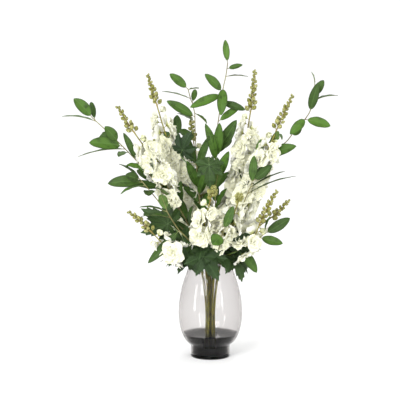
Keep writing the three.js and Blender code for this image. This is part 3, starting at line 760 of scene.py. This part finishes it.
class FLOWERS_OT_buds(bpy.types.Operator):
    """Make each bud spike: its tapering stalk, with buds at the golden angle that shrink to its tip"""

    bl_idname = "flowers.buds"
    bl_label = "Bud spikes"

    def execute(self, context):
        settings = context.scene.flowers_buds
        foam = painted_foam_buds(settings)
        plastic = moulded_stem_plastic("Moulded spike plastic", colour("#74681e"), colour("#8c7a2c"))
        for number, stalk in enumerate(STALKS):
            draw = random.Random(200 + number)
            line = spike_line(stalk, stem_line(stalk))
            surface = Surface()
            path = line.sampled(8)
            add_tube(surface, path, np.linspace(1.8, 1.0, len(path)), 8, SPIKE)
            count = int((line.length - 4) / (settings.pitch / MM))
            for i in range(count):
                share = (i + 0.5) / count
                along = 2 + share * (line.length - 5)
                heading = line.heading(along)
                outward = outward_from(heading, i * GOLDEN_ANGLE + draw.uniform(-0.3, 0.3))
                lean = unit(outward + heading * (0.6 + 0.7 * share))
                length = settings.bud / MM * (1 - 0.45 * share) * draw.uniform(0.8, 1.12)
                add_bud(surface, draw, line.at(along), lean, length, 5.5 * (1 - 0.85 * share), draw.random())
            add_bud(surface, draw, line.at(line.length - 6), line.heading(line.length), 6, 0.4, 0.3)
            surface.make(f"{stalk}_bud_spike", [foam, plastic], [f"{stalk}_buds"])
        return {"FINISHED"}


# ---- Stems ---------------------------------------------------------------------------------


class FLOWERS_OT_stems(bpy.types.Operator):
    """Make the moulded stalks and shoots, with a slight swelling at each old leaf scar"""

    bl_idname = "flowers.stems"
    bl_label = "Stems"

    def execute(self, context):
        settings = context.scene.flowers_stems
        plastic = moulded_stem_plastic("Moulded stalk plastic", settings.stalk_colour, colour("#8b8428"))
        scar_pitch, scar_swell = 85, 0.16
        for number, stalk in enumerate(STALKS):
            draw = random.Random(300 + number)
            line = stem_line(stalk)
            path = line.sampled(6)
            along = np.linspace(0, line.length, len(path))
            start = settings.stalk_radius / MM * (0.8 if stalk.startswith("shoot") else 1)
            phase = draw.uniform(0, scar_pitch)
            scars = np.exp(-(((along + phase) % scar_pitch - scar_pitch / 2) / 3) ** 2)
            surface = Surface()
            radii = np.linspace(start, start * 0.74, len(path)) * (1 + scar_swell * scars)
            add_tube(surface, path, radii, 12, 0)
            surface.make(f"{stalk}_moulded_stem", [plastic], [f"{stalk}_stem"])
        return {"FINISHED"}


# ---- Long leaves ---------------------------------------------------------------------------

TWIG, LEAF_FACE, LEAF_BACK = 0, 1, 2


def add_long_leaf(surface, draw, base, tip, width, face, thickness):
    """A long elliptical leaf on a short stalk: cupped about its midrib, arched, with a gently waved rim."""
    length = distance(base, tip)
    along = unit(tip - base)
    side = unit(np.cross(along, face))
    normal = np.cross(side, along)
    rows, columns = 17, 9
    stalk = min(0.14, 7 / length)
    t = np.linspace(0, 1, rows)[:, None]
    u = np.linspace(-1, 1, columns)[None, :]
    half = 1.12 * width / 2 * np.sin(math.pi * t**0.92) ** 0.58
    half = np.maximum(half, 0.6)
    place = stalk + (1 - stalk) * t
    arch = length * draw.uniform(0.02, 0.06)
    sway = length * draw.uniform(-0.03, 0.03)
    fold = draw.uniform(0.16, 0.34)
    phase = draw.uniform(0, 2 * math.pi)
    lift = arch * np.sin(math.pi * place) - arch * 0.8 * place**4
    lift = lift + fold * np.abs(u) ** 1.3 * half
    lift = lift + 0.035 * width * np.abs(u) ** 2 * np.sin(5.5 * math.pi * t + phase + u)
    axes = (along, side, normal)
    grid = placed(base, axes, place * length, u * half + sway * np.sin(math.pi * place), lift)
    tint = draw.random() ** 1.8
    add_blade(surface, grid, uv_grid(rows, columns), thickness, tint, LEAF_FACE, LEAF_BACK)
    rib_places = np.concatenate([[0, stalk * 0.5], stalk + (1 - stalk) * np.linspace(0, 0.9, 9)])
    bow = np.sin(math.pi * rib_places)
    rib = placed(base, axes, rib_places * length, sway * bow, arch * (bow - 0.8 * rib_places**4) - 0.35)
    add_tube(surface, rib, np.linspace(1.0, 0.35, len(rib)), 6, TWIG)


class FLOWERS_OT_branches(bpy.types.Operator):
    """Make the leafy branches and sprigs: thin twigs with long leaves of pressed cloth"""

    bl_idname = "flowers.branches"
    bl_label = "Leafy branches"

    def execute(self, context):
        settings = context.scene.flowers_leaves
        stems = context.scene.flowers_stems
        twig = moulded_stem_plastic("Moulded twig plastic", stems.twig_colour, colour("#7f7a4e"))
        face = pressed_leaf_cloth("Pressed leaf cloth, face", settings.face_colour, settings.edge_colour,
                                  colour("#56763a"), colour("#486a22"), 9, 0.5)
        back = pressed_leaf_cloth("Pressed leaf cloth, back", settings.back_colour, colour("#38501f"),
                                  colour("#7d9460"), colour("#688446"), 9, 0.65)
        for number, branch in enumerate(BRANCHES):
            draw = random.Random(400 + number)
            leaves, others = branch_leaves(branch)
            knots = sorted([*ring_middles(others, 5, 1.7), *(leaf[0] for leaf in leaves)], key=lambda p: p[2])
            spaced = [knots[0]]
            for knot in knots[1:]:
                if distance(knot, spaced[-1]) > 9:
                    spaced.append(knot)
            line = Line(spaced)
            surface = Surface()
            path = line.sampled(7)
            add_tube(surface, path, np.linspace(1.9, 1.1, len(path)), 10, TWIG)
            for leaf in leaves:
                add_long_leaf(surface, draw, *leaf, settings.thickness / MM)
            if branch.startswith("branch_"):
                self.add_inner_leaves(surface, draw, line, settings.thickness / MM)
            surface.make(f"{branch}_leaves", [twig, face, back], [branch])
        return {"FINISHED"}

    @staticmethod
    def add_inner_leaves(surface, draw, line, thickness):
        """Leaves on the lower twig, among the florets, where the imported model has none."""
        lowest, highest, gap = 290, 470, 18
        turn = draw.uniform(0, math.tau)
        for along in np.arange(0, line.length, gap):
            point, heading = line.at(along), line.heading(along)
            turn += GOLDEN_ANGLE
            if lowest < point[2] < highest:
                outward = outward_from(heading, turn)
                tip = point + unit(outward * 0.75 + heading) * draw.uniform(55, 75)
                face = heading * 0.6 - outward * 0.3 + np.array([0, -0.7, 0])
                add_long_leaf(surface, draw, point, tip, draw.uniform(18, 23), unit(face), thickness)


# ---- Jagged leaves -------------------------------------------------------------------------

LOBE_ANGLES = [-150, -104, -52, 0, 52, 104, 150]
LOBE_LENGTHS = [0.5, 0.72, 0.9, 1, 0.9, 0.72, 0.5]
NOTCH_REACH = 0.46


def palm_rim(lobes):
    """The jagged outline from its hub: (angle, reach, place across its lobe) for each point of the rim.

    Each lobe has its point, two large teeth and two small ones, with a nick beside each.
    """
    rim = [(-172.0, 0.2, -1.0)]
    half = [(5.5, 0.85, 0.22), (9.5, 0.87, 0.4), (13, 0.7, 0.55), (18, 0.74, 0.75), (22, 0.62, 0.85)]
    shape = [*((-turn, share, -across) for turn, share, across in reversed(half)), (0, 1.0, 0.0), *half]
    for (angle, reach), beyond in zip(lobes, [*lobes[1:], None]):
        squeeze = 0.85 if abs(angle) > 140 else 1
        rim += [(angle + turn * squeeze, reach * share, across) for turn, share, across in shape]
        if beyond:
            notch = NOTCH_REACH * min(reach, beyond[1]) / 0.72
            rim.append(((angle + beyond[0]) / 2, notch, 1.0))
    rim.append((172.0, 0.2, 1.0))
    return rim


def add_palm_leaf(surface, draw, hub, tip, face, stalk_start, thickness):
    """A jagged leaf: seven toothed lobes about its hub, folded along their veins and drooping at the tips."""
    length = distance(hub, tip)
    along = unit(tip - hub)
    side = unit(np.cross(face, along))
    normal = np.cross(along, side)
    lobes = [
        (angle + draw.uniform(-3, 3), reach * (1 if angle == 0 else draw.uniform(0.78, 1.08)))
        for angle, reach in zip(LOBE_ANGLES, LOBE_LENGTHS)
    ]
    outline = palm_rim(lobes)
    angles = np.radians([a for a, _, _ in outline])
    reach = np.array([r for _, r, _ in outline])
    across = np.array([x for _, _, x in outline])
    shares = np.array([0.05, 0.16, 0.3, 0.45, 0.6, 0.74, 0.87, 1.0])[:, None]
    radius = shares * reach[None, :] * length
    fold = 0.24 * np.abs(across)[None, :] * np.sin(np.clip(shares, 0, 1) * math.pi * 0.62)
    droop = draw.uniform(0.22, 0.42) * (radius / length) ** 2.2
    sway = 0.05 * np.sin(3 * angles + draw.uniform(0, 6))[None, :] * (radius / length) ** 1.5
    lift = length * (0.5 * fold * np.minimum(radius / length * 2, 1) - droop + sway)
    axes = (along, side, normal)
    grid = placed(hub, axes, radius * np.cos(angles), radius * np.sin(angles), lift)
    uvs = np.stack([np.broadcast_to(across, radius.shape), np.broadcast_to(shares, radius.shape)], axis=-1)
    tint = draw.random()
    add_blade(surface, grid[:, ::-1], uvs[:, ::-1], thickness, tint, LEAF_FACE, LEAF_BACK)
    for degrees, reach in lobes:
        angle = math.radians(degrees)
        places = np.linspace(0.0, 0.92, 7) * reach * length
        near = np.argmin(np.abs(angles - angle))
        heights = np.interp(places, radius[:, near], lift[:, near]) - 0.35
        vein = placed(hub, axes, places * math.cos(angle), places * math.sin(angle), heights)
        add_tube(surface, vein, np.linspace(1.0, 0.3, 7), 6, LEAF_BACK)
    bend = hub - along * 0.3 * distance(hub, stalk_start) - normal * 4
    stalk = Line([stalk_start, (stalk_start + bend) / 2, bend, hub - normal * 0.6])
    add_tube(surface, stalk.sampled(5), 1.3, 8, TWIG)


class FLOWERS_OT_palm_leaves(bpy.types.Operator):
    """Make the jagged leaves round the mouth of the vase and among the florets"""

    bl_idname = "flowers.palm_leaves"
    bl_label = "Jagged leaves"

    def execute(self, context):
        settings = context.scene.flowers_leaves
        stalk = moulded_stem_plastic("Moulded leaf stalk plastic", colour("#5c7a3c"), colour("#71894a"))
        face = pressed_leaf_cloth("Pressed jagged leaf cloth, face", settings.palm_colour, colour("#111c0b"),
                                  settings.vein_colour, colour("#30451e"), 7, 0.55)
        back = pressed_leaf_cloth("Pressed jagged leaf cloth, back", colour("#3f5534"), colour("#2d4024"),
                                  colour("#6f8560"), colour("#4e663a"), 7, 0.65)
        for number, leaf in enumerate(PALM_LEAVES):
            draw = random.Random(500 + number)
            surface = Surface()
            add_palm_leaf(surface, draw, *palm_leaf_place(leaf), settings.thickness / MM)
            surface.make(f"{leaf}_blade", [stalk, face, back], [leaf])
        collar = Surface()
        self.add_collar(collar, random.Random(600), settings.thickness / MM)
        collar.make("collar_blades", [stalk, face, back], [])
        return {"FINISHED"}

    @staticmethod
    def add_collar(surface, draw, thickness):
        """Smaller jagged leaves in two rings where the stalks part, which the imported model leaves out."""
        count, reach = 14, 52
        ring_heights = (290, 258)
        stalk_reach, stalk_drop = 14, 34
        for i in range(count):
            turn = math.tau * i / count + draw.uniform(-0.12, 0.12)
            outward = np.array([math.cos(turn), math.sin(turn), 0])
            height = ring_heights[i % 2] + draw.uniform(-6, 6)
            hub = outward * (reach + draw.uniform(-4, 10)) + np.array([0, 0, height])
            tip = hub + unit(outward + np.array([0, 0, draw.uniform(-0.7, 0.1)])) * draw.uniform(58, 76)
            face = outward * 0.5 + np.array([0, 0, 0.8])
            start = outward * stalk_reach + np.array([0, 0, height - stalk_drop])
            add_palm_leaf(surface, draw, hub, tip, unit(face), start, thickness)


# ---- Vase and faux water -------------------------------------------------------------------

TURNED_SIDES = 144
OUTER_ANKLE, INNER_ANKLE = 0.05, 0.06  # share of the height where the foot ends, outside and inside


def turned_profile(node):
    """The outline that a turned node was made from: (radius, height) from the axis round to the axis."""
    points, near = welded(node)
    radius = np.hypot(points[:, 0], points[:, 1])
    start = int(np.argmin(radius + points[:, 2]))
    heading = math.atan2(*points[max(near[start], key=lambda i: radius[i]), 1::-1])
    off_meridian = np.arctan2(points[:, 1], points[:, 0]) - heading
    on_meridian = [
        i for i, angle in enumerate(off_meridian)
        if radius[i] < 0.01 or abs(math.remainder(angle, math.tau)) < 1e-3
    ]
    walk = [start]
    while True:
        ahead = [i for i in near[walk[-1]] if i in on_meridian and i not in walk]
        if not ahead:
            return [(radius[i], points[i, 2]) for i in walk]
        walk.append(ahead[0])


def add_turned(surface, profile, sides, slot=0):
    """A lathe surface: a profile from the axis out and back to the axis, turned about Z."""
    inner = profile[1:-1]
    turn = np.arange(sides) * math.tau / sides
    points = [(r * math.cos(a), r * math.sin(a), z) for r, z in inner for a in turn]
    uvs = [(a / math.tau, z) for _, z in inner for a in turn]
    rings = len(inner)
    faces = wall_faces(rings, sides)
    bottom, top = len(points), len(points) + 1
    points += [(0, 0, profile[0][1]), (0, 0, profile[-1][1])]
    uvs += [(0, 0), (0, 0)]
    faces += [(bottom, (k + 1) % sides, k) for k in range(sides)]
    last = (rings - 1) * sides
    faces += [(top, last + k, last + (k + 1) % sides) for k in range(sides)]
    surface.add(points, faces, uvs, 0.5, slot)


def smoothed(profile):
    """A run of (radius, height) points with a smooth line drawn through them."""
    line = Line([(r, 0, z) for r, z in profile], steps=7)
    return [(p[0], p[2]) for p in line.points]


class FLOWERS_OT_vase(bpy.types.Operator):
    """Make the blown glass vase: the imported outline, drawn smooth and turned finely"""

    bl_idname = "flowers.vase"
    bl_label = "Glass vase"

    def execute(self, context):
        profile = turned_profile("glass_vase")
        heights = [z for _, z in profile]
        mouth = heights.index(max(heights))
        ankle = next(i for i, z in enumerate(heights) if z > OUTER_ANKLE * heights[mouth])
        inner_ankle = max(i for i, z in enumerate(heights) if z > INNER_ANKLE * heights[mouth])
        outer = smoothed(profile[ankle:mouth])
        inner = smoothed(profile[mouth + 1 : inner_ankle])
        outline = [*profile[:ankle], *outer, profile[mouth], *inner, *profile[inner_ankle:]]
        surface = Surface()
        add_turned(surface, outline, TURNED_SIDES)
        glass = blown_glass(context.scene.flowers_vase)
        surface.make("blown_glass_vase", [glass], ["glass_vase"], sharp_degrees=35)
        return {"FINISHED"}


class FLOWERS_OT_water(bpy.types.Operator):
    """Make the faux water: resin, tinted dark as painted darkness for the dark table seen through it, that
    fills the foot and creeps up the glass at its edge
    """

    bl_idname = "flowers.water"
    bl_label = "Faux water"

    def execute(self, context):
        low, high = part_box("faux_water")
        profile = turned_profile("glass_vase")
        top = high.z / MM
        inner = profile[int(np.argmax([z for _, z in profile])) + 1 :]
        wet = [(r, z) for r, z in reversed(smoothed(inner[:-2]) + inner[-2:]) if z < top - 3 and r > 1]
        gap = 0.35
        radii, heights = zip(*reversed(inner[:-2]))
        edge = np.interp(top, heights, radii) - gap
        walls = [(r - gap, z + gap) for r, z in wet]
        # The resin stands highest against the glass, and falls to its flat top within 5 mm.
        creep = [(edge, top), (edge - 0.8, top - 0.9), (edge - 2.2, top - 1.6), (edge - 5, top - 2.0)]
        surface = Surface()
        add_turned(surface, [(0, low.z / MM), *walls, *creep, (0, top - 2.0)], TURNED_SIDES)
        resin = poured_resin(context.scene.flowers_vase)
        surface.make("poured_faux_water", [resin], ["faux_water"], sharp_degrees=35)
        return {"FINISHED"}


# ---- Stage ---------------------------------------------------------------------------------

# Each light's name, place in metres, width and height, and watts.
SOFTBOXES = [
    ("key_softbox", (-1.3, -2.5, 1.5), (1.3, 1.3), 62), ("fill_softbox", (1.6, -2.4, 0.9), (1.5, 1.5), 30),
    ("back_softbox", (0.6, 1.9, 2.4), (1.6, 1.6), 24), ("left_strip", (-1.5, -0.9, 0.45), (0.22, 0.9), 9),
    ("right_strip", (1.4, -1.5, 0.45), (0.16, 0.9), 6),
]


class FLOWERS_OT_stage(bpy.types.Operator):
    """Make the pale floor and backdrop, the soft studio light and the camera"""

    bl_idname = "flowers.stage"
    bl_label = "Stage"

    def execute(self, context):
        scene = context.scene
        settings = scene.flowers_stage
        self.add_floor(scene, painted_floor(settings))
        self.add_camera(scene, settings)
        for softbox in SOFTBOXES:
            self.add_softbox(scene, *softbox)
        world = bpy.data.worlds.new("Soft studio light")
        world.use_nodes = True
        background = world.node_tree.nodes["Background"]
        background.inputs["Color"].default_value = colour("#ffffff")
        background.inputs["Strength"].default_value = 0.95
        scene.world = world
        scene.view_settings.view_transform = "Standard"
        return {"FINISHED"}

    def add_floor(self, scene, material):
        """A floor that rolls up into a backdrop well behind the vase."""
        mesh = bmesh.new()
        rolled = [(2.2 + 1.5 * math.sin(a), 1.5 * (1 - math.cos(a))) for a in np.linspace(0, math.pi / 2, 13)]
        outline = [(-5.0, 0.0), *rolled, (3.7, 6.0)]
        rows = [[mesh.verts.new((x, y, z)) for x in (-7.0, 7.0)] for y, z in outline]
        for near, far in zip(rows, rows[1:]):
            mesh.faces.new((near[0], near[1], far[1], far[0]))
        data = bpy.data.meshes.new("floor")
        mesh.to_mesh(data)
        mesh.free()
        data.materials.append(material)
        data.polygons.foreach_set("use_smooth", [True] * len(data.polygons))
        floor = bpy.data.objects.new("floor", data)
        scene.collection.objects.link(floor)

    def add_softbox(self, scene, name, place, size, watts):
        light = bpy.data.lights.new(name, "AREA")
        light.shape = "RECTANGLE"
        light.energy, light.size, light.size_y = watts, *size
        self.aimed(scene, bpy.data.objects.new(name, light), place, (0, 0, 0.4))

    def add_camera(self, scene, settings):
        """A long lens in front of the vase and a little above its middle."""
        data = bpy.data.cameras.new("camera")
        data.sensor_width = 36
        data.lens = 91.5
        data.clip_end = 50
        camera = bpy.data.objects.new("camera", data)
        self.aimed(scene, camera, (-0.026, -settings.distance, 0.621), (-0.026, 0, 0.395))
        scene.camera = camera

    def aimed(self, scene, thing, place, target):
        """Puts a lamp or the camera in its place, turned to its target."""
        thing.location = place
        thing.rotation_mode = "QUATERNION"
        thing.rotation_quaternion = (Vector(target) - Vector(place)).to_track_quat("-Z", "Y")
        scene.collection.objects.link(thing)


# ---- Panel and registration ----------------------------------------------------------------

OPERATORS = [
    FLOWERS_OT_vase, FLOWERS_OT_water, FLOWERS_OT_stems, FLOWERS_OT_buds, FLOWERS_OT_florets,
    FLOWERS_OT_branches, FLOWERS_OT_palm_leaves, FLOWERS_OT_stage,
]
SETTINGS = {
    "flowers_vase": VaseSettings, "flowers_stems": StemSettings, "flowers_buds": BudSettings,
    "flowers_florets": FloretSettings, "flowers_leaves": LeafSettings, "flowers_stage": StageSettings,
}


class FLOWERS_PT_panel(bpy.types.Panel):
    """Lists what the arrangement is made of"""

    bl_label = "Delphinium arrangement"
    bl_idname = "FLOWERS_PT_panel"
    bl_space_type = "VIEW_3D"
    bl_region_type = "UI"
    bl_category = "Delphinium"

    def draw(self, context):
        for operator in OPERATORS:
            self.layout.operator(operator.bl_idname)
        for name, group in SETTINGS.items():
            box = self.layout.box()
            for field in group.__annotations__:
                box.prop(getattr(context.scene, name), field)


def register():
    for group in SETTINGS.values():
        bpy.utils.register_class(group)
    for name, group in SETTINGS.items():
        setattr(bpy.types.Scene, name, bpy.props.PointerProperty(type=group))
    for part in [*OPERATORS, FLOWERS_PT_panel]:
        bpy.utils.register_class(part)


def unregister():
    for part in [FLOWERS_PT_panel, *reversed(OPERATORS)]:
        bpy.utils.unregister_class(part)
    for name, group in reversed(SETTINGS.items()):
        delattr(bpy.types.Scene, name)
        bpy.utils.unregister_class(group)


def main():
    register()
    for operator in OPERATORS:
        category, name = operator.bl_idname.split(".")
        getattr(getattr(bpy.ops, category), name)()


if __name__ == "__main__":
    main()
